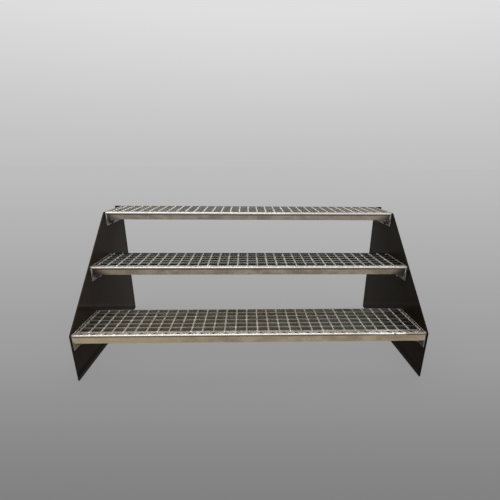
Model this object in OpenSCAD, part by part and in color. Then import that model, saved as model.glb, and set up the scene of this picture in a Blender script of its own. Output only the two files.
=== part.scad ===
// Short free-standing flight of three open steel treads. Two folded plate
// stringers stand on the floor, and three welded grating treads hang between
// them on bolted end plates. +X runs across the flight, +Y climbs it, and the
// origin lies on the floor under the middle of the flight.

/* [Flight] */
// Height from one tread's top to the next, and from the floor to the first
rise = 170; // [150:5:200]
// Distance along the flight from one tread's front edge to the next
going = 240; // [220:5:300]
// Length of a tread between the two stringers
tread_w = 1200; // [600:10:1400]
// Depth of a tread from its nosing to its back bar
tread_d = 240; // [230:5:305]

/* [Stringers] */
// Thickness of the folded stringer plate
plate_t = 5; // [4:1:10]
// How far the plate's front edge stands ahead of the nosings
plate_lead = 5; // [0:1:30]
// How far the flange's back face lies behind the top tread
plate_tail = 5; // [0:1:30]
// Width of the flange folded outwards along the back edge
flange_w = 35; // [20:1:80]
// Inside radius of the flange's bend
bend_r = 3; // [1:0.5:6]
// Radius of the plate's corners at the front and the top
corner_r = 10; // [2:1:30]

/* [Grating] */
// Height of the bearing bars
bar_h = 30; // [20:1:40]
// Thickness of the bearing bars
bar_t = 3; // [2:0.5:5]
// Distance from one bearing bar to the next
bar_pitch = 34.3; // [30:0.1:50]
// Side of the square cross rods
rod_side = 5; // [4:0.5:8]
// Distance from one cross rod to the next
rod_pitch = 38.1; // [30:0.1:60]
// Distance from the lowest tread's left end plate to its first cross rod
rod_start = 4; // [3:0.5:20]
// How much further in the first cross rod lies on each tread above
rod_shift = 4.5; // [0:0.5:9]
// How far the cross rods lie below the tops of the bars
rod_sunk = 0.5; // [0.5:0.5:3]

/* [Edges of a tread] */
// Thickness of the bars that close the tread's front and back
band_t = 3; // [2:0.5:6]
// Depth of the perforated nosing on top of the tread
nosing_d = 31; // [25:1:45]
// Thickness of the nosing's sheet
nosing_t = 2.5; // [1.5:0.5:4]
// Outside radius of the nosing's folded front edge
fold_r = 5; // [4:0.5:8]
// Height of the lip that hangs down below the fold
lip_h = 2; // [1:0.5:8]
// Radius of the nosing's holes
grip_r = 4.5; // [2:0.5:6]
// Distance from one nosing hole to the next
grip_pitch = 20; // [16:0.5:40]
// Distance from the nosing's back edge to the middle of its holes
grip_back = 20; // [8:0.5:21]

/* [End plates and bolts] */
// Thickness of a tread's end plates
end_t = 3; // [2:0.5:8]
// Height of a tread's end plates
end_h = 55; // [54:1:90]
// Radius of the bolt holes
bolt_r = 7; // [4:0.5:7]
// Distance between a tread end's two bolts
bolt_pitch = 120; // [90:5:130]
// Distance from the nosing to the first bolt
bolt_front = 45; // [40:1:80]
// Distance from the tread's top down to the bolts
bolt_drop = 42; // [42:1:44]

/* [Hidden] */

treads = 3;
LEFT = -1;
RIGHT = 1;
COATING = "#23201e";
ZINC = "#a8a69c";
BRIGHT_ZINC = "#d6d4cc";
$fn = 48;
// Points along each rounded corner of the stringer's outline
corner_steps = 4;
// How far a cutting solid runs past the faces that it cuts
over = 1;

// Side outline of a stringer, from its front edge (y = 0) to its back face
plate_d = plate_lead + (treads - 1) * going + tread_d + plate_tail;
plate_h = treads * rise;
slope = atan2(rise, going);
front_y = -plate_d / 2;
bend_out = bend_r + plate_t;
bend_y = plate_d - bend_out;

// Space between a tread's end plates, and the bars that fill it from the back.
// The gap left behind the nosing is at least this share of a full pitch.
least_gap = 0.3;
inner_w = tread_w - 2 * end_t;
last_bar_y = tread_d - band_t - bar_pitch + (band_t - bar_t) / 2;
free_d = last_bar_y - nosing_d - bar_t;
inner_bars = floor(free_d / bar_pitch - least_gap) + 1;
rod_d = tread_d - band_t - nosing_d;
grips = floor((inner_w - 2 * grip_pitch) / grip_pitch) + 1;

// Points along an arc about a centre, from one angle to another
function arc_points(centre, r, from, to) =
    [for (i = [0:corner_steps]) let (a = from + (to - from) * i / corner_steps)
        [centre[0] + r * cos(a), centre[1] + r * sin(a)]];

// Places of a tread's cross rods, from its left end plate to each rod's near side
function rod_places(n) =
    let (first = rod_start + (n - 1) * rod_shift)
        [for (k = [0:floor((inner_w - first - rod_side) / rod_pitch)]) first + k * rod_pitch];

// Distance from a corner to where its arc starts, for a turn by an angle
function tangent(r, turn) = r * tan(turn / 2);

// Plate as seen from the side: upright at the front up to the first tread,
// then parallel to the line of nosings, and level with the top tread
module plate_outline() {
    knee_turn = 90 - slope;
    knee_centre = [corner_r, rise - tangent(corner_r, knee_turn)];
    top_centre = [(treads - 1) * going + tangent(corner_r, slope), plate_h - corner_r];
    polygon(concat(
        [[0, 0]],
        arc_points(knee_centre, corner_r, 180, 180 - knee_turn),
        arc_points(top_centre, corner_r, 90 + slope, 90),
        [[bend_y, plate_h], [bend_y, 0]]));
}

// Bend and flange as seen from above, on the stringer's outer side
module flange_plan() {
    translate([bend_out, bend_y]) difference() {
        circle(r = bend_out);
        circle(r = bend_r);
        translate([-2 * bend_out, -2 * bend_out]) square([4 * bend_out, 2 * bend_out]);
        translate([0, -bend_out]) square([2 * bend_out, 4 * bend_out]);
    }
    translate([bend_out, plate_d - plate_t]) square([flange_w - bend_out, plate_t]);
}

// Drills the two bolt holes of a tread end along X, from x and through a plate
module bolt_holes(x, thick, tread_front, top) {
    for (k = [0, 1])
        translate([x - over, tread_front + bolt_front + k * bolt_pitch, top - bolt_drop])
            rotate([0, 90, 0])
                cylinder(r = bolt_r, h = thick + 2 * over);
}

// One folded stringer, standing on the floor, with its flange outwards
module stringer_solid() {
    translate([tread_w / 2, front_y, 0]) difference() {
        union() {
            rotate([90, 0, 90]) linear_extrude(plate_t) plate_outline();
            linear_extrude(plate_h) flange_plan();
        }
        for (n = [1:treads])
            bolt_holes(0, plate_t, plate_lead + (n - 1) * going, n * rise);
    }
}

module stringer(side) {
    color(COATING) {
        if (side == LEFT)
            mirror([1, 0, 0]) stringer_solid();
        else
            stringer_solid();
    }
}

// Moves a tread's pieces, drawn with their top at z = 0 and their nosing at
// y = 0, to the tread's place in the flight
module on_tread(n) {
    translate([0, front_y + plate_lead + (n - 1) * going, n * rise]) children();
}

// The nosing's profile as seen from its end: a flat top leg, a rounded fold
// and a short lip
module nosing_profile() {
    translate([fold_r, -fold_r]) intersection() {
        difference() {
            circle(r = fold_r);
            circle(r = fold_r - nosing_t);
        }
        translate([-fold_r, 0]) square(fold_r);
    }
    translate([fold_r, -nosing_t]) square([nosing_d - fold_r, nosing_t]);
    translate([0, -fold_r - lip_h]) square([nosing_t, lip_h]);
}

// Folded strip with a row of round grip holes in its top leg
module nosing(n) {
    color(BRIGHT_ZINC) on_tread(n) difference() {
        translate([-inner_w / 2, 0, 0]) rotate([90, 0, 90]) linear_extrude(inner_w)
            nosing_profile();
        for (i = [0:grips - 1])
            translate([(i - (grips - 1) / 2) * grip_pitch, nosing_d - grip_back, -nosing_t - over])
                cylinder(r = grip_r, h = nosing_t + 2 * over);
    }
}

// Flat bar on edge behind the nosing's lip, as high as the fold lets it stand
module front_bar(n) {
    color(ZINC) on_tread(n)
        translate([-inner_w / 2, nosing_t, -bar_h]) cube([inner_w, band_t, bar_h - fold_r]);
}

// Bearing bars on edge along the tread, with square rods pressed across
// their tops: one bar under the nosing's back edge, the rest at one pitch
module grating(n) {
    color(ZINC) on_tread(n) {
        translate([-inner_w / 2, nosing_d, -bar_h]) cube([inner_w, bar_t, bar_h]);
        for (k = [0:inner_bars - 1])
            translate([-inner_w / 2, last_bar_y - k * bar_pitch, -bar_h])
                cube([inner_w, bar_t, bar_h]);
        for (place = rod_places(n))
            translate([place - inner_w / 2, nosing_d, -rod_sunk - rod_side])
                cube([rod_side, rod_d, rod_side]);
    }
}

// Flat bar on edge that closes the tread's back
module back_bar(n) {
    color(ZINC) on_tread(n)
        translate([-inner_w / 2, tread_d - band_t, -bar_h]) cube([inner_w, band_t, bar_h]);
}

// Plate welded across the tread's end, drilled for two bolts
module end_plate(n, side) {
    plate_x = side == LEFT ? -tread_w / 2 : tread_w / 2 - end_t;
    color(ZINC) on_tread(n) difference() {
        translate([plate_x, 0, -end_h]) cube([end_t, tread_d, end_h]);
        bolt_holes(plate_x, end_t, 0, 0);
    }
}

stringer(LEFT);  // stringer_left
stringer(RIGHT);  // stringer_right
nosing(1);  // tread_1_nosing
front_bar(1);  // tread_1_front_bar
grating(1);  // tread_1_grating
back_bar(1);  // tread_1_back_bar
end_plate(1, LEFT);  // tread_1_end_plate_left
end_plate(1, RIGHT);  // tread_1_end_plate_right
nosing(2);  // tread_2_nosing
front_bar(2);  // tread_2_front_bar
grating(2);  // tread_2_grating
back_bar(2);  // tread_2_back_bar
end_plate(2, LEFT);  // tread_2_end_plate_left
end_plate(2, RIGHT);  // tread_2_end_plate_right
nosing(3);  // tread_3_nosing
front_bar(3);  // tread_3_front_bar
grating(3);  // tread_3_grating
back_bar(3);  // tread_3_back_bar
end_plate(3, LEFT);  // tread_3_end_plate_left
end_plate(3, RIGHT);  // tread_3_end_plate_right
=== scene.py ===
# Looks of a short open steel flight: two coated plate stringers that carry three
# galvanised grating treads. Metres, +X across the flight, +Y the way it climbs.
import math
import random

import bmesh
import bpy
from mathutils import Matrix, Vector


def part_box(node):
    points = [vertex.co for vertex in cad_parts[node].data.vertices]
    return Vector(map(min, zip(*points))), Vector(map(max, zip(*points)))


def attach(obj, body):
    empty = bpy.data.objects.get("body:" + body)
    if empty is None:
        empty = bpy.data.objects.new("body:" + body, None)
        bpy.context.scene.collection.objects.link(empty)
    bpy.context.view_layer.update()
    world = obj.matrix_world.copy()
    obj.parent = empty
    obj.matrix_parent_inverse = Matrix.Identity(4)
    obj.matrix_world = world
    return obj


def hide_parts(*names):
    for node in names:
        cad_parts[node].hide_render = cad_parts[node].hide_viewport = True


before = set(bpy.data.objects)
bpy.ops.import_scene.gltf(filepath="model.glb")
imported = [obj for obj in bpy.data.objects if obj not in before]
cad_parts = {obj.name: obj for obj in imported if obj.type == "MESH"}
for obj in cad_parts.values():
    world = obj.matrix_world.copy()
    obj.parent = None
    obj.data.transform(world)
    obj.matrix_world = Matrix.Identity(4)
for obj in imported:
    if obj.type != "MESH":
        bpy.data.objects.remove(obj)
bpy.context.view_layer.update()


# ---------------------------------------------------------------- stringers
# Each stringer is one 5 mm steel plate, laser cut and folded along its back
# edge, then powder coated black. It stands on the floor on its own cut edge,
# and the treads are bolted through it.

mm = 0.001
sides = ("left", "right")
stringer_low, stringer_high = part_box("stringer_right")
plate_edge = 0.7 * mm
same_point = 0.002 * mm
flat_angle = math.radians(0.5)
sharp_angle = math.radians(40)
coat_black = (0.0113, 0.0070, 0.0026, 1.0)
coat_dust_and_light = (0.0500, 0.0378, 0.0285, 1.0)
coat_reflected = (0.0950, 0.0800, 0.0650, 1.0)
coat_shaded = (0.0060, 0.0040, 0.0022, 1.0)
cloud_size = 200 * mm
cloud_stretch = (1.0, 0.6, 1.6)
cloud_edges = (0.35, 0.70)
speck_size = 11 * mm
speck_edges = (0.56, 0.78)
peel_size = 2.2 * mm
peel_depth = 0.07 * mm
ripple_size = 40 * mm
ripple_share = 0.80
coat_roughness = 0.40
coat_mottle = 0.08
lit_side = (60 * mm, -60 * mm)
left_plate_light = 0.50
dust_clouds = 0.28
dust_specks = 0.20
inner_face = (stringer_low.x + 1.5 * mm, stringer_low.x + 0.5 * mm)
bend_start = (stringer_high.y - 43 * mm, stringer_high.y - 27 * mm)
bend_shade_share = 0.45

# A pale band of painted reflection and a dark band of painted shadow run along the
# plates, level at the foot and falling towards the back above it. Each has its middle,
# its core and its reach, the share that it covers on the left plate, and how much
# of that shows on the right one
foot_front = (50 * mm, -100 * mm)
foot_reflection = (8.5 * mm, 2.5 * mm, 6 * mm)
foot_reflection_share = 0.36
foot_shadow = (24 * mm, 7 * mm, 12 * mm)
foot_shadow_share = 0.80
slope_fall = 0.366
slope_reflection = (12 * mm, 2 * mm, 9 * mm)
slope_reflection_share = 0.24
slope_shadow = (-2 * mm, 5 * mm, 12 * mm)
slope_shadow_share = 0.66
reflection_right = 0.30
shadow_right = 0.60


class Value:
    """An output of a shader node that takes part in plain arithmetic."""

    def __init__(self, shading, socket):
        self.shading = shading
        self.socket = socket

    def maths(self, operation, first, second):
        return self.shading.node("Math", {"operation": operation}, {0: first, 1: second})

    def __add__(self, other):
        return self.maths("ADD", self, other)

    def __sub__(self, other):
        return self.maths("SUBTRACT", self, other)

    def __rsub__(self, other):
        return self.maths("SUBTRACT", other, self)

    def __mul__(self, other):
        return self.maths("MULTIPLY", self, other)

    def __truediv__(self, other):
        return self.maths("DIVIDE", self, other)

    def __mod__(self, other):
        return self.maths("FLOORED_MODULO", self, other)

    def __abs__(self):
        return self.maths("ABSOLUTE", self, 0.0)

    __radd__ = __add__
    __rmul__ = __mul__


class Shading:
    """The node tree of a material or a sky, and the shader that it ends in."""

    def __init__(self, tree, shader, **fixed):
        self.tree = tree
        self.shader = tree.nodes[shader]
        for socket, value in fixed.items():
            self.shader.inputs[socket.replace("_", " ")].default_value = value

    def node(self, kind, settings=None, sockets=None, output=0):
        """Adds a node: its settings are set first, then its sockets get values or links."""
        made = self.tree.nodes.new("ShaderNode" + kind)
        for name, value in (settings or {}).items():
            if name == "stops":
                self.set_stops(made.color_ramp, value)
            else:
                setattr(made, name, value)
        for name, value in (sockets or {}).items():
            if isinstance(value, Value):
                self.tree.links.new(value.socket, made.inputs[name])
            else:
                made.inputs[name].default_value = value
        return Value(self, made.outputs[output])

    def set_stops(self, ramp, stops):
        while len(ramp.elements) < len(stops):
            ramp.elements.new(1.0)
        for element, (place, colour) in zip(ramp.elements, stops):
            element.position = place
            element.color = colour

    def place(self, axis=None):
        """The point on the piece, in metres from the stair's origin, or one axis of it."""
        point = self.node("TexCoord", output=3)
        if axis is None:
            return point
        return self.node("SeparateXYZ", None, {0: point}, output="XYZ".index(axis))

    def noise(self, size, detail=3.0, stretch=(1.0, 1.0, 1.0)):
        """Soft noise from 0 to 1 whose blotches are about this many metres across."""
        grain = self.node("Mapping", None, {"Vector": self.place(), "Scale": stretch})
        sockets = {"Vector": grain, "Scale": 1.0 / size, "Detail": detail}
        return self.node("TexNoise", None, sockets)

    def ramp(self, value, low, high):
        """Value stretched so that low becomes 0 and high becomes 1, with soft ends."""
        sockets = {"Value": value, "From Min": low, "From Max": high}
        return self.node("MapRange", {"interpolation_type": "SMOOTHSTEP"}, sockets)

    def mix(self, amount, first, second):
        """The first colour turning into the second as the amount goes from 0 to 1."""
        return self.node("Mix", {"data_type": "RGBA"}, {0: amount, 6: first, 7: second}, output=2)

    def vary(self, socket, value):
        """Lets a value that changes over the surface feed a socket of the shader."""
        self.tree.links.new(value.socket, self.shader.inputs[socket])

    def bump(self, height, depth):
        """Fine relief, this many metres deep where the height is 1."""
        sockets = {"Height": height, "Distance": depth, "Strength": 1.0}
        self.vary("Normal", self.node("Bump", None, sockets))


def new_finish(name, **fixed):
    """A new material and its shading, with what is the same all over it set at once."""
    material = bpy.data.materials.new(name)
    material.use_nodes = True
    return material, Shading(material.node_tree, "Principled BSDF", **fixed)


def band(coat, value, middle, core, reach):
    """Mask that is full within the core distance of a middle value, and gone at the reach."""
    return 1 - coat.ramp(abs(value - middle), core, reach)


def powder_coat():
    """Satin black with clouds and specks of dust, the left plate painted lighter as painted light,
    pale bands of painted reflection and dark bands of painted shadow near the floor, and painted
    shade by the back fold.
    """
    material, coat = new_finish("powder coat", IOR=1.45, Specular_IOR_Level=0.03)
    cloud = coat.ramp(coat.noise(cloud_size, 4.0, cloud_stretch), *cloud_edges)
    specks = coat.ramp(coat.noise(speck_size, 5.0), *speck_edges)
    # Painted light: the left plate is lighter all over, as light falls on its inner face
    left = coat.ramp(coat.place("X"), *lit_side)
    dust_and_light = left * left_plate_light + cloud * dust_clouds + specks * dust_specks
    colour = coat.mix(dust_and_light, coat_black, coat_dust_and_light)

    up = coat.place("Z")
    back = coat.place("Y")
    slope = up + (back - stringer_high.y) * slope_fall
    front = coat.ramp(back, *foot_front)
    inner = coat.ramp(abs(coat.place("X")), *inner_face)
    # Painted reflection: pale bands near the floor
    painted_reflections = band(coat, up, *foot_reflection) * front * foot_reflection_share
    painted_reflections = painted_reflections + band(coat, slope, *slope_reflection) * slope_reflection_share
    painted_reflections = painted_reflections * inner * (left * (1 - reflection_right) + reflection_right)
    colour = coat.mix(painted_reflections, colour, coat_reflected)
    # Painted shadow: dark bands near the floor
    painted_shade = band(coat, up, *foot_shadow) * front * foot_shadow_share
    painted_shade = painted_shade + band(coat, slope, *slope_shadow) * slope_shadow_share
    painted_shade = painted_shade * inner * (left * (1 - shadow_right) + shadow_right)
    colour = coat.mix(painted_shade, colour, coat_shaded)
    # Painted shade: the inner face darkens towards the fold along the back edge
    bend = coat.ramp(back, *bend_start) * inner * bend_shade_share
    coat.vary("Base Color", coat.mix(bend, colour, coat_shaded))
    coat.vary("Roughness", cloud * coat_mottle + specks * coat_mottle + coat_roughness)
    peel = coat.noise(peel_size, 2.0)
    coat.bump(peel + coat.noise(ripple_size, 2.0) * ripple_share, peel_depth)
    return material


def softened(node, edge):
    """The mesh of a CAD solid with its sharp edges rounded off."""
    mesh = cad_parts[node].data.copy()
    shape = bmesh.new()
    shape.from_mesh(mesh)
    bmesh.ops.remove_doubles(shape, verts=shape.verts, dist=same_point)
    bmesh.ops.dissolve_limit(shape, angle_limit=flat_angle, verts=shape.verts, edges=shape.edges)
    sharp = [e for e in shape.edges if e.is_manifold and e.calc_face_angle() > sharp_angle]
    bmesh.ops.bevel(shape, geom=sharp, offset=edge, segments=2, profile=0.5, affect="EDGES")
    for face in shape.faces:
        face.material_index = 0
    shape.to_mesh(mesh)
    shape.free()
    return mesh


def dress(name, mesh, finishes, node=None, smooth_below=20):
    """Adds a mesh as a piece of the stair, in place of a CAD node if one is given."""
    mesh.name = name
    chosen = [face.material_index for face in mesh.polygons]
    mesh.materials.clear()
    for material in finishes:
        mesh.materials.append(material)
    mesh.polygons.foreach_set("material_index", chosen)
    for face in mesh.polygons:
        face.use_smooth = True
    mesh.set_sharp_from_angle(angle=math.radians(smooth_below))
    piece = bpy.data.objects.new(name, mesh)
    bpy.context.scene.collection.objects.link(piece)
    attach(piece, "root")
    if node:
        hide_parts(node)


coating = powder_coat()
for side in sides:
    node = f"stringer_{side}"
    dress(f"coated_plate_{side}", softened(node, plate_edge), [coating], node)


# ---------------------------------------------------------------- end plates
# A drilled flat plate closes each end of a tread and is bolted to the
# stringer. The whole tread is welded up first and then dipped in molten zinc,
# which dries to a dull grey with a faint crystal pattern and warm stains.

treads = (1, 2, 3)
end_plate_edge = 0.4 * mm
crystals_per_metre = 150.0
crystal_share = 0.35
blotch_size = 28 * mm
blotch_stretch = (0.55, 1.0, 1.0)
blotch_edges = (0.34, 0.68)
patch_size = 120 * mm
patch_edges = (0.40, 0.66)
stain_share = 0.60
zinc_mottle = 0.08
blotch_dulling = 0.15
blotch_relief = 0.60
pit_size = 1.6 * mm
pit_depth = 0.05 * mm
plate_dark = (0.300, 0.268, 0.225)
plate_warm = (0.470, 0.420, 0.350)
plate_pale = (0.560, 0.520, 0.450)
cut_dark = (0.600, 0.555, 0.490, 1.0)
cut_light = (0.900, 0.840, 0.760, 1.0)
# Factors on each end plate's tones: painted light and shade, darkest on the lowest right plate,
# which stands in shadow
plate_shade = {
    "tread_1_end_plate_left": (0.92, 0.78, 0.66),
    "tread_1_end_plate_right": (0.26, 0.20, 0.17),
    "tread_2_end_plate_left": (0.62, 0.62, 0.62),
    "tread_2_end_plate_right": (0.50, 0.50, 0.50),
    "tread_3_end_plate_left": (0.60, 0.60, 0.62),
    "tread_3_end_plate_right": (0.48, 0.48, 0.48),
}

# A painted glint on one plate: a small pale spot in a dark patch of painted shade
glint_plate = "tread_3_end_plate_right"
glint_low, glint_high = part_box(glint_plate)
glint_place = Vector((glint_low.x, glint_low.y + 29 * mm, glint_high.z - 36 * mm))
glint_core = (3.5 * mm, 5.5 * mm, 1.0)
glint_patch = (7 * mm, 17 * mm, 0.80)
glint_tone = (0.960, 0.950, 0.930, 1.0)
glint_shade_tone = (0.040, 0.036, 0.032, 1.0)


def zinc(name, dark, light, stain, roughness=0.36, metal=0.92, layers=()):
    """Galvanised steel: crystals a few millimetres wide, broad stains and fine pitting.

    A layer is a mask, which takes the coat, and the tone that it lays over what is there.
    """
    material, coat = new_finish(name, IOR=1.5)
    sockets = {"Vector": coat.place(), "Scale": crystals_per_metre}
    crystals = coat.node("TexVoronoi", None, sockets, output=1)
    grey = coat.node("RGBToBW", None, {0: crystals})
    blotch = coat.ramp(coat.noise(blotch_size, 4.0, blotch_stretch), *blotch_edges)
    patch = coat.ramp(coat.noise(patch_size), *patch_edges)
    base = coat.mix(grey * crystal_share + blotch * (1 - crystal_share), dark, light)
    colour = coat.mix(patch * stain_share, base, stain)
    for where, tone in layers:
        colour = coat.mix(where(coat), colour, tone)
    coat.vary("Base Color", colour)
    coat.vary("Metallic", metal - blotch * blotch_dulling)
    coat.vary("Roughness", grey * zinc_mottle + blotch * zinc_mottle + roughness)
    pits = coat.noise(pit_size)
    coat.bump(pits + blotch * blotch_relief, pit_depth)
    return material


def spot(place, core, reach, share):
    """Mask that is full within the core distance of a place, and gone at the reach."""
    def mask(coat):
        ends = {0: coat.place(), 1: place}
        away = coat.node("VectorMath", {"operation": "DISTANCE"}, ends, output=1)
        return coat.ramp(away, reach, core) * share
    return mask


def shaded(colour, shade):
    """A colour made darker or warmer by a factor for each of red, green and blue."""
    return tuple(part * factor for part, factor in zip(colour, shade)) + (1.0,)


tones = [cut_dark, cut_light, cut_light]
cut_zinc = zinc("zinc on the cut edges of the end plates", *tones, roughness=0.34, metal=0.75)
for n in treads:
    for side in sides:
        node = f"tread_{n}_end_plate_{side}"
        tones = [shaded(tone, plate_shade[node]) for tone in (plate_dark, plate_warm, plate_pale)]
        layers = []
        if node == glint_plate:
            # Painted shade round a painted glint
            layers += [(spot(glint_place, *glint_patch), glint_shade_tone)]
            layers += [(spot(glint_place, *glint_core), glint_tone)]
        plate_zinc = zinc(f"zinc on end plate {n} {side}", *tones, layers=layers)
        mesh = softened(node, end_plate_edge)
        # Faces turned forward and up take the paler zinc: partly the cut edges' own zinc, partly
        # painted light where they face the light
        for face in mesh.polygons:
            front_or_top_face = face.normal.y < -0.5 or face.normal.z > 0.5
            face.material_index = 1 if front_or_top_face else 0
        dress(f"end_plate_{n}_{side}", mesh, [plate_zinc, cut_zinc], node)


# ---------------------------------------------------------------- gratings
# Flat bearing bars stand on edge along the tread. Twisted square rods are
# pressed hot across their tops, so each crossing is welded, and the metal
# squeezed out there stands as a small bulge on the bar.

bar_thick = 3.0 * mm
bar_high = 30.0 * mm
bar_pitch = 34.3 * mm
inner_bars = 5
bar_round = 0.6 * mm
rod_pitch = 38.1 * mm
rod_first = 6.5 * mm
rod_shift = 4.5 * mm
rod_side = 5.2 * mm
rod_corner = 0.22
rod_turn = 29.0 * mm
rod_steps = 142
turn_per_metre = 40.0
rod_below = 3.424 * mm
bulge_size = Vector((4.4, 3.6, 2.9)) * mm
bulge_below = 0.05 * mm
bulge_wander = 1.2 * mm
bulge_least = 0.75
bulge_spread = 0.45
uneven_least = 0.82
uneven_spread = 0.36

# Places of a grating's finishes in its list, after that of the bars' sides
on_tops = 1
on_rods = 2
on_crossings = 3

# Bands of dirt, painted light and painted shade are placed on all three treads at
# once, by the height from a tread's top and by the distance behind its front
first_low, first_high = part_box("tread_1_nosing")
second_low, second_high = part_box("tread_2_nosing")
rise = second_high.z - first_high.z
going = second_low.y - first_low.y
front_line = first_low.y - 0.5 * mm
level_zero = 60.0 * mm

lit_level = {
    1: (-6.4 * mm, -4.6 * mm),
    2: (-3.8 * mm, -2.2 * mm),
    3: (-5.2 * mm, -3.2 * mm),
}
lit_less = {1: 3.4 * mm, 2: 1.6 * mm, 3: 2.2 * mm}
lit_rear = (50 * mm, 200 * mm)
lit_share = 0.88
under_nosing = (36 * mm, 45 * mm)
rod_dirt_reach = (170 * mm, 50 * mm)
rod_dirt_share = 0.45
whole_width = (-600 * mm, 600 * mm)
cool_reach = (-150 * mm, 500 * mm)
cool_share = 0.60
end_reach = (380 * mm, 600 * mm)
end_share = 0.38
end_share_right = 0.36
right_share = 0.10
top_end_reach = (220 * mm, 520 * mm)
top_end_share = 0.34
top_end_share_right = 0.60

# Each tread has tones of its own, set as painted light and shade: dark, light and
# stained zinc on the bars, and then the tones of their lit upper edges and of
# their ends, painted shade on the lower treads and painted light on the top one
bar_tones = {
    1: [(0.235, 0.213, 0.147, 1.0), (0.393, 0.359, 0.249, 1.0), (0.382, 0.311, 0.204, 1.0)],
    2: [(0.028, 0.030, 0.023, 1.0), (0.049, 0.051, 0.039, 1.0), (0.046, 0.043, 0.033, 1.0)],
    3: [(0.150, 0.140, 0.120, 1.0), (0.235, 0.221, 0.192, 1.0), (0.230, 0.196, 0.166, 1.0)],
}
lit_edge_tone = {
    1: (0.440, 0.421, 0.350, 1.0),
    2: (0.470, 0.468, 0.410, 1.0),
    3: (0.232, 0.221, 0.196, 1.0),
}
end_tone = {
    1: (0.060, 0.054, 0.048, 1.0),
    2: (0.040, 0.038, 0.030, 1.0),
    3: (0.420, 0.375, 0.335, 1.0),
}
cool_tone = (0.285, 0.300, 0.245, 1.0)
top_dark = (0.330, 0.320, 0.285)
top_light = (0.520, 0.505, 0.460)
# Factors on each tread's bar tops: painted light and shade
top_shade = {1: (0.95, 0.95, 0.95), 2: (1.30, 1.30, 1.30), 3: (1.00, 1.00, 1.00)}
rod_dark = (0.560, 0.545, 0.500)
rod_light = (0.760, 0.745, 0.700)
# Factors on each tread's rods: painted light and shade
rod_shade = {1: (0.90, 0.90, 0.88), 2: (1.02, 1.02, 1.02), 3: (1.08, 1.08, 1.08)}
rod_dirt_tone = (0.250, 0.240, 0.205, 1.0)
crossing_dark = (0.780, 0.765, 0.730, 1.0)
crossing_light = (0.930, 0.920, 0.890, 1.0)


def tread_place(n):
    """Front, back and ends of the space inside a tread's frame, and its top."""
    nosing_low, nosing_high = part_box(f"tread_{n}_nosing")
    return {
        "front": nosing_low.y,
        "nosing_back": nosing_high.y,
        "back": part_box(f"tread_{n}_back_bar")[0].y,
        "left": nosing_low.x,
        "right": nosing_high.x,
        "top": nosing_high.z,
    }


def sweep(shape, rings, closed_ends=True, material=0):
    """Skins a list of rings, each a list of points, and closes the two ends if asked."""
    made = [[shape.verts.new(point) for point in ring] for ring in rings]
    count = len(made[0])
    faces = []
    for first, second in zip(made, made[1:]):
        for i in range(count):
            j = (i + 1) % count
            faces.append(shape.faces.new((first[i], first[j], second[j], second[i])))
    if closed_ends:
        faces.append(shape.faces.new(list(reversed(made[0]))))
        faces.append(shape.faces.new(made[-1]))
    for face in faces:
        face.material_index = material
    return faces


def bar_section(y, top):
    """Outline of a bearing bar with its corners rolled off, as (y, z) pairs."""
    low = top - bar_high
    back = y + bar_thick
    cut = bar_round
    return [
        (y + cut, low), (back - cut, low),
        (back, low + cut), (back, top - cut),
        (back - cut, top), (y + cut, top),
        (y, top - cut), (y, low + cut),
    ]


def finished_mesh(shape):
    """Turns the faces of a shape outwards and makes it a mesh."""
    bmesh.ops.recalc_face_normals(shape, faces=shape.faces)
    mesh = bpy.data.meshes.new("piece")
    shape.to_mesh(mesh)
    shape.free()
    return mesh


def twisted_rod(shape, x, y_from, y_to, z):
    """A square rod with rounded corners, twisted about its own axis."""
    half = rod_side / 2
    flat = 1 - rod_corner
    square = [(1, -flat), (1, flat), (flat, 1), (-flat, 1)]
    square += [(-a, -b) for a, b in square]
    rings = []
    for step in range(rod_steps + 1):
        y = y_from + (y_to - y_from) * step / rod_steps
        turn = 2 * math.pi * (y - y_from) / rod_turn + x * turn_per_metre
        c = half * math.cos(turn)
        s = half * math.sin(turn)
        rings.append([(x + a * c - b * s, y, z + a * s + b * c) for a, b in square])
    sweep(shape, rings, material=on_rods)


def bulge(shape, centre, size, dice, material, rounds=2):
    """A small uneven mound of weld metal."""
    uneven = [uneven_least + uneven_spread * dice.random() for _ in range(3)]
    scale = Matrix.Diagonal((size.x * uneven[0], size.y * uneven[1], size.z, 1.0))
    spin = Matrix.Rotation(dice.random() * math.pi, 4, "Z")
    matrix = Matrix.Translation(centre) @ spin @ scale
    made = bmesh.ops.create_icosphere(shape, subdivisions=rounds, radius=1.0, matrix=matrix)
    for vertex in made["verts"]:
        for face in vertex.link_faces:
            face.material_index = material


def rod_places(n):
    """Middles of a tread's cross rods. The first lies further in on each higher tread."""
    at = tread_place(n)
    first = at["left"] + rod_first + (n - 1) * rod_shift
    count = int((at["right"] - first - rod_side / 2) / rod_pitch) + 1
    return [first + k * rod_pitch for k in range(count)]


def bar_places(at):
    """Front faces of the bearing bars, from the nosing's back edge to the last one."""
    last = at["back"] - bar_pitch
    return [at["nosing_back"]] + [last - k * bar_pitch for k in reversed(range(inner_bars))]


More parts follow.
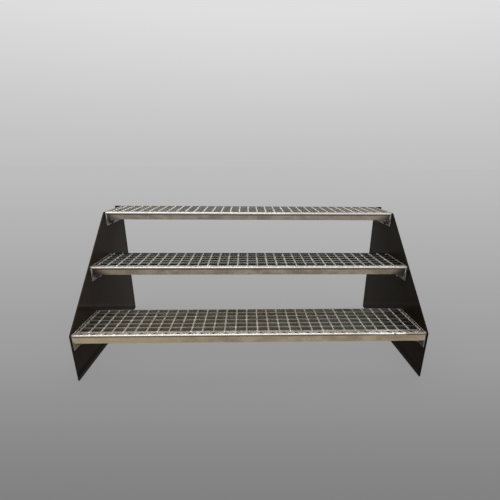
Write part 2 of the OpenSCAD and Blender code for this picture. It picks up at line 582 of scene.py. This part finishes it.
def grating_mesh(n):
    at = tread_place(n)
    dice = random.Random(100 + n)
    shape = bmesh.new()
    for y in bar_places(at):
        outline = bar_section(y, at["top"])
        faces = sweep(shape, [[(x, a, b) for a, b in outline] for x in (at["left"], at["right"])])
        for face in faces:
            if y > at["nosing_back"] and face.calc_center_median().z > at["top"] - 2 * bar_round:
                face.material_index = on_tops
    bulge_z = at["top"] - bulge_size.z - bulge_below
    for x in rod_places(n):
        twisted_rod(shape, x, at["nosing_back"], at["back"], at["top"] - rod_below)
        for y in bar_places(at) + [at["back"]]:
            aside = (dice.random() - 0.5) * bulge_wander
            along = (dice.random() - 0.5) * bulge_wander
            centre = Vector((x + aside, y + bar_thick / 2 + along, bulge_z))
            grown = bulge_least + bulge_spread * dice.random()
            size = Vector((bulge_size.x * grown, bulge_size.y * grown, bulge_size.z))
            bulge(shape, centre, size, dice, on_crossings)
    return finished_mesh(shape)


def level(coat):
    """Height from the top of whichever tread the point is on, negative below it."""
    return (coat.place("Z") + level_zero) % rise - level_zero


def depth(coat):
    """Distance behind the front of whichever tread the point is on."""
    return (coat.place("Y") - front_line) % going


def lit_upper_edge(n):
    """Painted light: the upper edges of the bars' sides are lighter, and less deep towards the
    back.
    """
    def mask(coat):
        behind = depth(coat)
        rear = coat.ramp(behind, *lit_rear)
        strip = coat.ramp(level(coat) - rear * lit_less[n], *lit_level[n])
        return strip * coat.ramp(behind, *under_nosing) * lit_share
    return mask


def rod_dirt(coat):
    """The rods are dirtier near the nosing, where dust from shoes falls through."""
    return coat.ramp(depth(coat), *rod_dirt_reach) * rod_dirt_share


def cool_side(coat):
    """The right half of the lowest grating dried to a colder grey."""
    return coat.ramp(coat.place("X"), *cool_reach) * cool_share


def shade_near_ends(coat):
    """Painted shade: the bars darken by the end plates, most of all by the right one, and a little
    towards the right.
    """
    towards_right = coat.ramp(coat.place("X"), *whole_width)
    by_plates = coat.ramp(abs(coat.place("X")), *end_reach)
    painted_shade = by_plates * (towards_right * end_share_right + end_share)
    return painted_shade + towards_right * right_share


def light_near_top_ends(coat):
    """Painted light: on the top tread the bars lighten towards the end plates instead."""
    towards_right = coat.ramp(coat.place("X"), *whole_width)
    by_plates = coat.ramp(abs(coat.place("X")), *top_end_reach)
    return by_plates * (towards_right * top_end_share_right + top_end_share)


bar_zinc = {}
top_zinc = {}
for n in treads:
    end_layer = (light_near_top_ends if n == treads[-1] else shade_near_ends, end_tone[n])
    layers = [(cool_side, cool_tone)] if n == 1 else []
    layers += [(lit_upper_edge(n), lit_edge_tone[n]), end_layer]
    bar_zinc[n] = zinc(f"zinc on bearing bars {n}", *bar_tones[n], roughness=0.46, layers=layers)
    tones = [shaded(tone, top_shade[n]) for tone in (top_dark, top_light, top_dark)]
    name = f"zinc on the tops of bars {n}"
    top_zinc[n] = zinc(name, *tones, roughness=0.42, metal=0.75, layers=[end_layer])
    layers = [(rod_dirt, rod_dirt_tone)] if n < treads[-1] else []
    tones = [shaded(tone, rod_shade[n]) for tone in (rod_dark, rod_light, rod_light)]
    rod_zinc = zinc(f"zinc on rods {n}", *tones, roughness=0.38, metal=0.70, layers=layers)
    tones = [crossing_dark, crossing_light, crossing_light]
    name = f"zinc on crossings {n}"
    crossing_zinc = zinc(name, *tones, roughness=0.34, metal=0.60, layers=layers)
    finishes = [bar_zinc[n], top_zinc[n], rod_zinc, crossing_zinc]
    node = f"tread_{n}_grating"
    dress(f"grating_{n}", grating_mesh(n), finishes, node, smooth_below=40)


# ---------------------------------------------------------------- front and back bars
# A flat bar on edge closes the grating at the front, under the nosing, and
# another at the back. Both are welded to the end plates and to the rods.

band_edge = 0.5 * mm
# A dark line under the nosing's lip: grime and painted shadow
seam_level = {1: -6.2 * mm, 2: -9.0 * mm, 3: -9.8 * mm}
seam_half = {1: 2.6 * mm, 2: 2.4 * mm, 3: 3.2 * mm}
seam_core = 0.4
seam_share = 0.70
seam_tone = (0.070, 0.055, 0.040, 1.0)
wedge_slant = 1.4
wedge_reach = {2: 556 * mm, 3: 572 * mm}
wedge_soft = 66 * mm
wedge_wisp = 15 * mm
wedge_wander = 20 * mm
wedge_share = 0.85
wedge_tone = (0.075, 0.062, 0.048, 1.0)
flux_reach = (-50 * mm, -350 * mm)
flux_share = 0.80
flux_tone = (1.000, 0.815, 0.500, 1.0)
# Tones of each front bar, lighter on the lower treads: the zinc's own tone with painted light and
# shade
front_tones = {
    1: [(0.680, 0.540, 0.360, 1.0), (0.960, 0.815, 0.590, 1.0), (0.860, 0.710, 0.500, 1.0)],
    2: [(0.430, 0.360, 0.265, 1.0), (0.740, 0.640, 0.500, 1.0), (0.620, 0.520, 0.390, 1.0)],
    3: [(0.350, 0.295, 0.240, 1.0), (0.620, 0.540, 0.460, 1.0), (0.540, 0.455, 0.380, 1.0)],
}


def lip_seam(n):
    """Darker along the seam at the foot of the nosing's lip: grime, and the painted shadow of the
    lip.
    """
    def mask(coat):
        core = seam_half[n] * seam_core
        return band(coat, level(coat), seam_level[n], core, seam_half[n]) * seam_share
    return mask


def end_wedge_shade(n):
    """Painted shade and reflection of the stringer on an upper bar: a dark wedge by each end,
    longer at the bar's foot.
    """
    def mask(coat):
        reach = abs(coat.place("X")) - level(coat) * wedge_slant
        reach = reach + coat.noise(wedge_wisp) * wedge_wander
        return coat.ramp(reach, wedge_reach[n], wedge_reach[n] + wedge_soft) * wedge_share
    return mask


def warm_flux(coat):
    """The left half of the lowest bars dried to a warmer yellow."""
    return coat.ramp(coat.place("X"), *flux_reach) * flux_share


for n in treads:
    node = f"tread_{n}_front_bar"
    # The lowest bar's left half is warmer zinc; on the others a wedge of painted shade darkens each
    # end
    layers = [(warm_flux, flux_tone) if n == 1 else (end_wedge_shade(n), wedge_tone)]
    layers += [(lip_seam(n), seam_tone)]
    name = f"zinc on front bar {n}"
    band_zinc = zinc(name, *front_tones[n], roughness=0.34, layers=layers)
    dress(f"front_bar_{n}", softened(node, band_edge), [band_zinc], node)

    node = f"tread_{n}_back_bar"
    back_zinc = zinc(f"zinc on back bar {n}", *bar_tones[n], roughness=0.46)
    back_top = top_zinc[n] if n == 1 else back_zinc
    mesh = softened(node, band_edge)
    for face in mesh.polygons:
        face.material_index = 1 if face.normal.y > 0.5 else 0
        if face.normal.z > 0.3:
            face.material_index = 2
    dress(f"back_bar_{n}", mesh, [back_zinc, band_zinc, back_top], node)


# ---------------------------------------------------------------- nosings
# The nosing is a folded strip of sheet, punched with a row of round holes
# whose rims stand up a little for grip. It is welded over the front bar and
# tacked to the grating behind it at every third rod.

sheet = 2.5 * mm
fold_outer = 5.0 * mm
fold_steps = 8
lip_high = fold_outer + 2.0 * mm
lip_round = 0.3 * mm
grip_pitch = 20.0 * mm
grip_radius = 4.6 * mm
grip_behind = 20.0 * mm
side_steps = 6
rim_width = 1.8 * mm
rim_rise = 0.9 * mm

# Section of a hole's raised rim, from the flat strip to the hole: shares of the
# rim's width outside the hole, and of its rise below the top. The wall follows
rim_section = [(2.0, 1.0), (1.2, 0.45), (0.5, 0.0), (0.1, 0.1)]
wall_start = 0.6 * rim_rise

# Places of the finishes of the holes' walls in a nosing's list: dark walls are
# painted shade in the holes, and pale walls painted light on every second hole
# of the lowest nosing
shaded_wall = 1
lit_wall = 2

nosing_dark = (0.640, 0.622, 0.585)
nosing_light = (0.900, 0.880, 0.840)
nosing_stain = (0.780, 0.738, 0.675)
# Factors on each tread's nosing: painted light and shade
nosing_shade = {1: (1.00, 1.00, 1.00), 2: (0.93, 0.93, 0.93), 3: (0.70, 0.70, 0.70)}
hole_dark = (0.025, 0.022, 0.018, 1.0)
hole_light = (0.065, 0.058, 0.048, 1.0)
dull_tone = (0.370, 0.342, 0.300, 1.0)
bright_tone = (0.960, 0.945, 0.915, 1.0)
lip_tone = (0.330, 0.275, 0.205, 1.0)
tooth_tone = (0.300, 0.272, 0.235, 1.0)
nick_tone = (0.180, 0.140, 0.105, 1.0)

# Where each layer of wear, dirt, painted light and painted shade starts and where
# it is full, and how much it covers
shade_depth = (13 * mm, 18 * mm)
shade_wisp = 12 * mm
shade_wander = 4 * mm
behind_share = 0.85
scuff_size = 8 * mm
scuff_stretch = (1.0, 0.6, 1.0)
scuff_edges = (0.54, 0.66)
scuff_share = 0.75
lip_level = {
    1: (-2.5 * mm, -0.9 * mm),
    2: (-3.8 * mm, -2.2 * mm),
    3: (-6.4 * mm, -5.2 * mm),
}
lip_share = 0.85
left_end = (-380 * mm, -590 * mm)
left_share = {1: 0.18, 2: 0.45, 3: 0.00}
dull_stretch = {1: (240 * mm, 440 * mm), 2: (280 * mm, 420 * mm), 3: (130 * mm, 700 * mm)}
dull_share = {1: 0.16, 2: 0.08, 3: 0.42}
stretch_fade = 60 * mm
bright_lip = (-1.0 * mm, -2.4 * mm)
bright_lip_share = 0.66
tooth_middle = 12.5 * mm
tooth_edge = (7 * mm, 11 * mm)
tooth_front = (4 * mm, 8 * mm)
tooth_rear = (24 * mm, 18 * mm)
tooth_share = 0.66
end_highlight_start = (380 * mm, 450 * mm)
end_highlight_stop = (535 * mm, 520 * mm)
end_highlight_share = 0.55
corner_start = (530 * mm, 550 * mm)
corner_wander = 20 * mm
corner_share = 0.80
nick_place = Vector((491 * mm, first_low.y + 2 * mm, first_high.z - 3 * mm))
nick_core = (2.5 * mm, 5 * mm, 0.90)


def cell_edge(x, half_x, y_front, y_back):
    """Points round a rectangle, the same number on each side, from one corner."""
    right = x + half_x
    left = x - half_x
    corners = [(right, y_front), (right, y_back), (left, y_back), (left, y_front)]
    points = []
    for a, b in zip(corners, corners[1:] + corners[:1]):
        for k in range(side_steps):
            t = k / side_steps
            points.append((a[0] + (b[0] - a[0]) * t, a[1] + (b[1] - a[1]) * t))
    return points


def grip_cell(shape, x, y_front, y_back, y_hole, top, wall):
    """One pitch of the punched strip: its top, the raised rim, the hole and its underside."""
    edge = cell_edge(x, grip_pitch / 2, y_front, y_back)
    angles = [math.atan2(py - y_hole, px - x) for px, py in edge]

    def outline(down):
        return [(px, py, top - down) for px, py in edge]

    def circle(radius, down):
        z = top - down
        return [(x + radius * math.cos(a), y_hole + radius * math.sin(a), z) for a in angles]

    rim = [circle(grip_radius + out * rim_width, down * rim_rise) for out, down in rim_section]
    foot = circle(grip_radius, sheet)
    sweep(shape, [outline(rim_rise)] + rim, closed_ends=False)
    sweep(shape, [rim[-1], circle(grip_radius, wall_start), foot], closed_ends=False, material=wall)
    sweep(shape, [foot, outline(sheet)], closed_ends=False)


def flat_cell(shape, x_from, x_to, y_front, y_back, top):
    """A plain stretch of the strip beside the last hole."""
    ys = [y_front + (y_back - y_front) * k / side_steps for k in range(side_steps + 1)]
    for z in (top - rim_rise, top - sheet):
        rows = [[shape.verts.new((x, y, z)) for y in ys] for x in (x_from, x_to)]
        for k in range(side_steps):
            shape.faces.new((rows[0][k], rows[1][k], rows[1][k + 1], rows[0][k + 1]))


def nosing_mesh(n):
    at = tread_place(n)
    top = at["top"]
    y_fold = at["front"] + fold_outer
    y_back = at["nosing_back"]
    y_hole = y_back - grip_behind
    holes = int((at["right"] - at["left"]) / grip_pitch) - 1
    middle = (at["left"] + at["right"]) / 2
    centres = [middle + (i - (holes - 1) / 2) * grip_pitch for i in range(holes)]
    shape = bmesh.new()
    for k, x in enumerate(centres):
        # Every second hole of the lowest nosing gets painted light on its wall, the rest painted
        # shade
        wall = lit_wall if n == 1 and k % 2 == 1 else shaded_wall
        grip_cell(shape, x, y_fold, y_back, y_hole, top, wall)
    first = centres[0] - grip_pitch / 2
    last = centres[-1] + grip_pitch / 2
    flat_cell(shape, at["left"], first, y_fold, y_back, top)
    flat_cell(shape, last, at["right"], y_fold, y_back, top)

    # The fold and the lip run the whole length, in step with the cells
    bare = top - rim_rise
    centre_z = top - fold_outer
    arc = [math.radians(90 + 90 * k / fold_steps) for k in range(fold_steps + 1)]
    high = bare - centre_z
    section = [(y_fold + fold_outer * math.cos(a), centre_z + high * math.sin(a)) for a in arc]
    foot = top - lip_high
    section += [(at["front"], foot + lip_round), (at["front"] + lip_round, foot)]
    section += [(at["front"] + sheet, foot)]
    inner = fold_outer - sheet
    for a in reversed(arc):
        section.append((y_fold + inner * math.cos(a), centre_z + inner * math.sin(a)))
    xs = [at["left"]]
    xs += [first + grip_pitch * k / side_steps for k in range(holes * side_steps + 1)]
    xs += [at["right"]]
    rows = [[shape.verts.new((x, y, z)) for y, z in section] for x in xs]
    for row, following in zip(rows, rows[1:]):
        for k in range(len(section) - 1):
            shape.faces.new((row[k], row[k + 1], following[k + 1], following[k]))
        ends = [(row[0].co.x, z) for z in (bare, top - sheet)]
        ends += [(following[0].co.x, z) for z in (top - sheet, bare)]
        shape.faces.new([shape.verts.new((x, y_back, z)) for x, z in ends])
    bmesh.ops.remove_doubles(shape, verts=shape.verts, dist=same_point)
    open_edges = [e for e in shape.edges if e.is_boundary]
    bmesh.ops.edgeloop_fill(shape, edges=open_edges)
    return finished_mesh(shape)


def behind_holes(coat):
    """Painted shade: the strip behind the holes is darker than its front, where the fold catches
    the light.
    """
    behind = depth(coat) + coat.noise(shade_wisp) * shade_wander
    return coat.ramp(behind, *shade_depth) * behind_share


def lip_front(n):
    """Painted shade: the fold's front, below this tread's level, takes a darker, browner tone under
    its highlight.
    """
    def mask(coat):
        return (1 - coat.ramp(level(coat), *lip_level[n])) * lip_share
    return mask


def scuffs(coat):
    """Small bright rubs scattered over the strip."""
    return coat.ramp(coat.noise(scuff_size, 3.0, scuff_stretch), *scuff_edges) * scuff_share


def tooth_dirt(coat):
    """Every second hole of the lowest nosing is dirty, and the metal round the others clean."""
    pitch = 2 * grip_pitch
    along = (coat.place("X") + (pitch / 2 - tooth_middle)) % pitch
    behind = depth(coat)
    row = coat.ramp(behind, *tooth_front) * coat.ramp(behind, *tooth_rear)
    return (1 - band(coat, along, pitch / 2, *tooth_edge)) * row * tooth_share


def dull_stretches(n):
    """Painted shade where the nosing's highlight is weaker: the left end, and a stretch to the
    right.
    """
    def mask(coat):
        along = coat.place("X")
        start, stop = dull_stretch[n]
        stretch = coat.ramp(along, start, start + stretch_fade)
        stretch = stretch * coat.ramp(along, stop, stop - stretch_fade)
        return coat.ramp(along, *left_end) * left_share[n] + stretch * dull_share[n]
    return mask


def painted_lip_highlight(coat):
    """A painted highlight: on the top tread the fold is lighter than the flat behind it."""
    return coat.ramp(level(coat), *bright_lip) * bright_lip_share


def painted_end_highlight(coat):
    """A painted highlight on the right end of the lowest nosing."""
    along = coat.place("X")
    return coat.ramp(along, *end_highlight_start) * coat.ramp(along, *end_highlight_stop) * end_highlight_share


def shaded_corner(coat):
    """Painted shade: the right corner of the lowest nosing is darker, where its highlight ends."""
    along = coat.place("X") + coat.noise(corner_wander) * corner_wander
    return coat.ramp(along, *corner_start) * corner_share


tones = [hole_dark, hole_light, hole_dark]
hole_zinc = zinc("painted shade in the nosing holes", *tones, roughness=0.50)
tones = [crossing_dark, crossing_light, crossing_light]
clean_zinc = zinc("zinc on the welds, and painted light in the nosing holes", *tones, roughness=0.34, metal=0.60)
for n in treads:
    layers = [(behind_holes, dull_tone), (scuffs, bright_tone), (lip_front(n), lip_tone)]
    if n == 1:
        layers += [(painted_end_highlight, bright_tone), (tooth_dirt, tooth_tone), (shaded_corner, lip_tone)]
        layers += [(spot(nick_place, *nick_core), nick_tone)]
    if n == treads[-1]:
        layers += [(painted_lip_highlight, bright_tone)]
    layers += [(dull_stretches(n), dull_tone), (lip_seam(n), seam_tone)]
    tones = [shaded(tone, nosing_shade[n]) for tone in (nosing_dark, nosing_light, nosing_stain)]
    nosing_zinc = zinc(f"zinc on nosing {n}", *tones, roughness=0.34, layers=layers)
    finishes = [nosing_zinc, hole_zinc, clean_zinc]
    node = f"tread_{n}_nosing"
    dress(f"nosing_{n}", nosing_mesh(n), finishes, node, smooth_below=40)


# ---------------------------------------------------------------- welds
# Beads join every bar to the end plates, and tacks join the nosing to the
# rods. They were laid before the dip, so they carry the same zinc.

bead_steps = 22
bead_sides = 8
bead_blunt = 8
bead_least = 0.2
bead_ripple = 0.16
bead_ripple_turn = 2.4
bead_uneven = 0.10

# Each bead has a radius, its place in from the frame's end and back from its
# bar, and the bare lengths that it leaves at the bar's foot and top
bead_radius = 2.2 * mm
bead_inside = 0.4 * mm
bead_behind = bar_thick + 0.3 * mm
bead_bare = (3 * mm, 4 * mm)
front_bead_radius = 2.8 * mm
front_bead_inside = 0.8 * mm
front_bead_behind = 2.9 * mm
front_bead_bare = (1 * mm, 6 * mm)
tack_size = Vector((5.2, 3.4, 2.6)) * mm
tack_every = 3
side_finish = 0
front_finish = 1


def bead(shape, start, end, radius, dice, material):
    """A run of weld: a thin rod, blunt at both ends, with the ripples that the pool leaves."""
    along = (end - start).normalized()
    side = along.orthogonal().normalized()
    up = along.cross(side)
    rings = []
    for k in range(bead_steps + 1):
        t = k / bead_steps
        taper = max(bead_least, math.sqrt(1 - (2 * t - 1) ** bead_blunt))
        ripple = bead_ripple * math.sin(k * bead_ripple_turn)
        size = radius * taper * (1 + ripple + bead_uneven * (dice.random() - 0.5))
        centre = start + (end - start) * t
        turns = [2 * math.pi * i / bead_sides for i in range(bead_sides)]
        rings.append([centre + (side * math.cos(a) + up * math.sin(a)) * size for a in turns])
    sweep(shape, rings, material=material)


def weld_mesh(n):
    at = tread_place(n)
    dice = random.Random(200 + n)
    shape = bmesh.new()
    low = at["top"] - bar_high
    for y in bar_places(at) + [at["back"] - bar_thick]:
        for x in (at["left"] + bead_inside, at["right"] - bead_inside):
            foot = Vector((x, y + bead_behind, low + bead_bare[0]))
            head = Vector((x, y + bead_behind, at["top"] - bead_bare[1]))
            bead(shape, foot, head, bead_radius, dice, side_finish)
    for x in (at["left"] + front_bead_inside, at["right"] - front_bead_inside):
        y = at["front"] + front_bead_behind
        foot = Vector((x, y, low + front_bead_bare[0]))
        head = Vector((x, y, at["top"] - front_bead_bare[1]))
        bead(shape, foot, head, front_bead_radius, dice, front_finish)
    for k, x in enumerate(rod_places(n)):
        if k % tack_every == n % tack_every:
            centre = Vector((x, at["nosing_back"], at["top"] - tack_size.z))
            bulge(shape, centre, tack_size, dice, side_finish, rounds=3)
    return finished_mesh(shape)


for n in treads:
    dress(f"welds_{n}", weld_mesh(n), [clean_zinc, cut_zinc], smooth_below=60)


# ---------------------------------------------------------------- bolts
# Two M12 hexagon bolts hold each tread end. The head bears on the stringer's
# outer face through a washer, and the nut and its washer on the end plate. They
# are zinc plated, and the nuts and washers inside, under the grating, are
# painted darker than the heads as painted shade.

plate_thick = 5.0 * mm
bolt_behind = (45.0 * mm, 165.0 * mm)
bolt_below = 42.0 * mm
flat_radius = 9.0 * mm
head_high = 7.5 * mm
nut_high = 10.8 * mm
washer_radius = 12.0 * mm
washer_thick = 2.5 * mm
washer_foot = 0.3 * mm
washer_edge = 0.4 * mm
thread_radius = 5.9 * mm
thread_deep = 0.9 * mm
thread_tip = 1.6 * mm
thread_pitch = 1.75 * mm
thread_end = 4.0 * mm
corner_reach = 0.155
bolt_finish = 0
nut_finish = 1

# Chamfers at a hexagon's foot and at its face: the share of the radius left
# flat, and the depth at the flats and at the corners
hexagon_foot = (0.98, 0.5 * mm, 0.3 * mm)
hexagon_face = (0.96, 0.4 * mm, 1.3 * mm)
round_steps = 24
bolt_dark = (0.500, 0.490, 0.460, 1.0)
bolt_light = (0.660, 0.650, 0.620, 1.0)
bolt_stain = (0.580, 0.570, 0.530, 1.0)
nut_dark = (0.210, 0.200, 0.185, 1.0)
nut_light = (0.380, 0.370, 0.345, 1.0)


def ring_round(x, centre, radius):
    turns = [2 * math.pi * i / round_steps for i in range(round_steps)]
    return [(x, centre.y + radius * math.cos(a), centre.z + radius * math.sin(a)) for a in turns]


def ring_hex(x, centre, out, drop):
    """A hexagon's outline, its corners set back along X by a chamfer."""
    sixth = math.pi / 3
    points = []
    for i in range(round_steps):
        a = 2 * math.pi * i / round_steps
        reach = 1 / math.cos(a - round(a / sixth) * sixth)
        back = drop * (reach - 1) / corner_reach
        radius = flat_radius * reach
        y = centre.y + radius * math.cos(a)
        z = centre.z + radius * math.sin(a)
        points.append((x - out * back, y, z))
    return points


def washer(shape, x, centre, out, material):
    """A round washer with its rims rolled off, standing out from x."""
    full = washer_radius
    rings = [ring_round(x, centre, full - washer_foot)]
    rings.append(ring_round(x + out * washer_foot, centre, full))
    rings.append(ring_round(x + out * (washer_thick - washer_edge), centre, full))
    rings.append(ring_round(x + out * washer_thick, centre, full - washer_edge))
    sweep(shape, rings, material=material)


def hexagon(shape, x, centre, out, high, material):
    """A bolt's head or its nut: round faces, with chamfered corners between them."""
    foot_flat, foot_start, foot_drop = hexagon_foot
    face_flat, face_start, face_drop = hexagon_face
    rings = [ring_round(x, centre, flat_radius * foot_flat)]
    rings.append(ring_hex(x + out * foot_start, centre, -out, foot_drop))
    rings.append(ring_hex(x + out * (high - face_start), centre, out, face_drop))
    rings.append(ring_round(x + out * high, centre, flat_radius * face_flat))
    sweep(shape, rings, material=material)


def threaded_end(shape, x, centre, out, length):
    """The end of the thread, as a stack of crests and roots with a chamfered tip."""
    steps = int(length / (thread_pitch / 2))
    rings = []
    for k in range(steps + 1):
        radius = thread_radius if k % 2 else thread_radius - thread_deep
        rings.append(ring_round(x + out * k * thread_pitch / 2, centre, radius))
    rings.append(ring_round(x + out * length, centre, thread_radius - thread_tip))
    sweep(shape, rings, material=nut_finish)


def bolts_mesh(n, side):
    plate_low, plate_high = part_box(f"tread_{n}_end_plate_{side}")
    at = tread_place(n)
    out = 1 if side == "right" else -1
    inner = plate_low.x if out > 0 else plate_high.x
    outer = (plate_high.x if out > 0 else plate_low.x) + out * plate_thick
    shape = bmesh.new()
    for behind in bolt_behind:
        centre = Vector((0, at["front"] + behind, at["top"] - bolt_below))
        washer(shape, outer, centre, out, bolt_finish)
        hexagon(shape, outer + out * washer_thick, centre, out, head_high, bolt_finish)
        washer(shape, inner, centre, -out, nut_finish)
        hexagon(shape, inner - out * washer_thick, centre, -out, nut_high, nut_finish)
        stub = inner - out * (washer_thick + nut_high - thread_pitch)
        threaded_end(shape, stub, centre, -out, thread_end + thread_pitch)
    return finished_mesh(shape)


tones = [bolt_dark, bolt_light, bolt_stain]
bolt_zinc = zinc("zinc plating on the bolts", *tones, roughness=0.28)
# Painted shade: the nuts and inner washers, under the grating, are darker than the heads
tones = [nut_dark, nut_light, nut_dark]
nut_zinc = zinc("shaded zinc on the nuts", *tones, roughness=0.34)
for n in treads:
    for side in sides:
        finishes = [bolt_zinc, nut_zinc]
        dress(f"bolts_{n}_{side}", bolts_mesh(n, side), finishes, smooth_below=28)


# ---------------------------------------------------------------- floor, light and camera
# A pale studio floor that darkens softly towards the viewer, one broad soft
# lamp overhead and an even sky.

floor_reach = 60.0
floor_middle = -0.9
floor_half_way = 6.0
ambient = 0.60
even_share = 0.85
lamp_height = 70.0
lamp_turn = 198.0
lamp_spread = 60.0
lamp_strength = 1.35
view_place = (-0.0126, -1.5222, 0.7047)
view_down = 23.35
view_roll = -0.52
view_turn = 2.29
view_lens = 27.27
view_shift = (-0.0272, 0.1510)

# Tones of the floor from its middle to the horizon, half way where the distance
# is floor_half_way, and of the sky from the horizon up
floor_tones = [
    (0.00, 0.2165), (0.10, 0.3342), (0.17, 0.3697), (0.30, 0.4280),
    (0.50, 0.4760), (0.75, 0.5087), (1.00, 0.5180),
]
sky_tones = [(0.00, 0.5265), (0.10, 0.5874), (0.28, 0.7384), (1.00, 0.8000)]


def greys(tones):
    return [(place, (tone, tone, tone, 1.0)) for place, tone in tones]


def seen_directly(shading):
    """1 in what the camera, a reflection or clear glass shows, 0 in what lights the stair."""
    camera_ray = shading.node("LightPath", output=0)
    glossy_ray = shading.node("LightPath", output=3)
    transmission_ray = shading.node("LightPath", output=6)
    return camera_ray + glossy_ray + transmission_ray


def floor_finish():
    """Part plain paint that takes the stair's shadow, part even glow, tone by distance."""
    fixed = {"Roughness": 0.9, "Specular_IOR_Level": 0.0, "Emission_Strength": 1.0}
    material, paint = new_finish("studio floor", **fixed)
    along = paint.place("Y") + paint.place("X") * math.tan(math.radians(view_turn))
    away = abs(along - floor_middle)
    far = away / (away + floor_half_way)
    tone = paint.node("ValToRGB", {"stops": greys(floor_tones)}, {"Fac": far})
    glow = seen_directly(paint) * even_share
    black = (0.0, 0.0, 0.0, 1.0)
    paint.vary("Base Color", paint.mix(glow, tone, black))
    paint.vary("Emission Color", paint.mix(glow, black, tone))
    return material


floor_mesh = bpy.data.meshes.new("studio_floor")
floor_square = ((-1, -1), (1, -1), (1, 1), (-1, 1))
floor_points = [(x * floor_reach, y * floor_reach, 0) for x, y in floor_square]
floor_mesh.from_pydata(floor_points, [], [(0, 1, 2, 3)])
floor_mesh.materials.append(floor_finish())
floor = bpy.data.objects.new("studio_floor", floor_mesh)
bpy.context.scene.collection.objects.link(floor)

world = bpy.data.worlds.new("studio sky")
bpy.context.scene.world = world
world.use_nodes = True
sky = Shading(world.node_tree, "Background", Strength=1.0)
height = sky.node("SeparateXYZ", None, {0: sky.node("TexCoord")}, output=2)
backdrop = sky.node("ValToRGB", {"stops": greys(sky_tones)}, {"Fac": height})
sky.vary("Color", sky.mix(seen_directly(sky), (ambient, ambient, ambient, 1.0), backdrop))


def soft_sun(name, elevation, azimuth, spread, strength):
    """A wide, even lamp. Azimuth 0 is ahead of the stair and 90 is to its right."""
    lamp = bpy.data.lights.new(name, "SUN")
    lamp.angle = math.radians(spread)
    lamp.energy = strength
    holder = bpy.data.objects.new(name, lamp)
    bpy.context.scene.collection.objects.link(holder)
    holder.rotation_euler = (math.radians(90 - elevation), 0.0, math.radians(azimuth))


soft_sun("overhead lamp", lamp_height, lamp_turn, lamp_spread, lamp_strength)

camera_data = bpy.data.cameras.new("viewpoint")
camera = bpy.data.objects.new("viewpoint", camera_data)
bpy.context.scene.collection.objects.link(camera)
camera.location = view_place
camera.rotation_euler = [math.radians(a) for a in (90 - view_down, view_roll, -view_turn)]
camera_data.sensor_width = 36.0
camera_data.lens = view_lens
camera_data.shift_x, camera_data.shift_y = view_shift
camera_data.clip_end = 200.0
bpy.context.scene.camera = camera
bpy.context.scene.view_settings.view_transform = "Standard"
